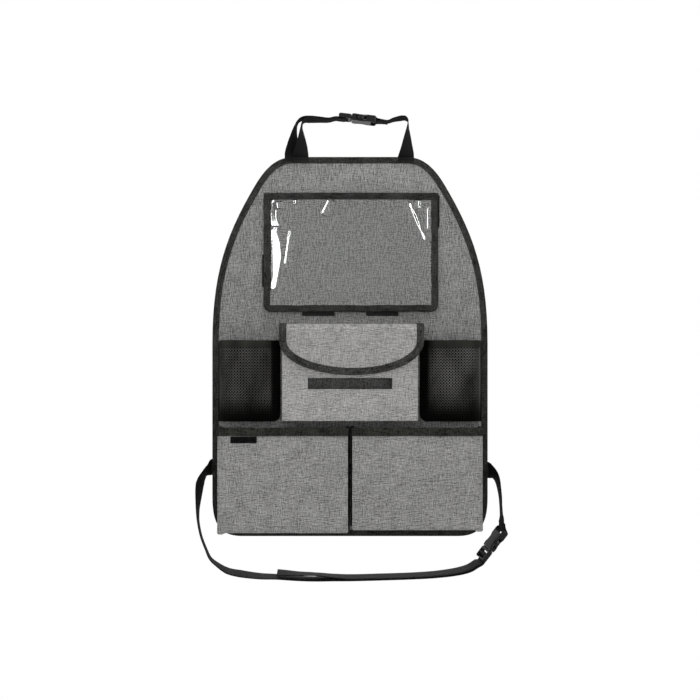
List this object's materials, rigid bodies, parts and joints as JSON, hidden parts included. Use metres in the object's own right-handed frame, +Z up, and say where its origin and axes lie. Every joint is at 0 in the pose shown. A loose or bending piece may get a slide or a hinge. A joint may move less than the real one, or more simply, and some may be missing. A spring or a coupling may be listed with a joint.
{
  "type": "car organizer",
  "caption": "Grey fabric seat-back organizer with black bound edges, clear tablet pouch, flap-top tissue pocket, mesh pockets, box pockets and buckled webbing straps.",
  "frame": {"origin": "centre of the panel's flat back face, which lies against the seat back", "axes": "+Z up along the panel, +Y out of the back face towards the seat, -Y the side with the pockets, +X to the viewer's right"},
  "size_m": [0.481, 0.0617, 0.7194],
  "materials": {
    "grey_cloth": "woven melange cloth",
    "black_cloth": "plain woven cloth",
    "black_tape": "ribbed binding tape",
    "webbing": "ribbed webbing",
    "mesh": "open knitted net",
    "plastic": "moulded acetal, satin",
    "board": "stiffener board, out of sight",
    "film": "clear flexible film"
  },
  "bodies": {
    "root": {"front_cloth": "grey_cloth", "stiffener_board": "board", "back_lining": "black_cloth", "panel_binding": "black_tape", "pouch_back": "grey_cloth", "pouch_binding": "black_tape", "clear_window": "film", "window_binding": "black_tape", "left_fastener": "black_tape", "right_fastener": "black_tape", "lower_left_fastener": "black_tape", "lower_right_fastener": "black_tape", "tissue_gusset": "grey_cloth", "tissue_front": "grey_cloth", "tissue_flap": "grey_cloth", "flap_binding": "black_tape", "pocket_loop_tape": "black_tape", "flap_hook_tape": "black_tape", "left_mesh_pocket": "mesh", "left_mesh_band": "black_tape", "right_mesh_pocket": "mesh", "right_mesh_band": "black_tape", "left_box_gusset": "black_cloth", "left_box_front": "grey_cloth", "left_box_binding": "black_tape", "right_box_gusset": "black_cloth", "right_box_front": "grey_cloth", "right_box_binding": "black_tape", "blank_label": "black_tape", "headrest_strap_long": "webbing", "headrest_strap_short": "webbing", "headrest_buckle_socket": "plastic", "headrest_buckle_plug": "plastic", "seat_strap_long": "webbing", "seat_strap_short": "webbing", "seat_buckle_socket": "plastic", "seat_buckle_plug": "plastic"}
  },
  "joints": []
}
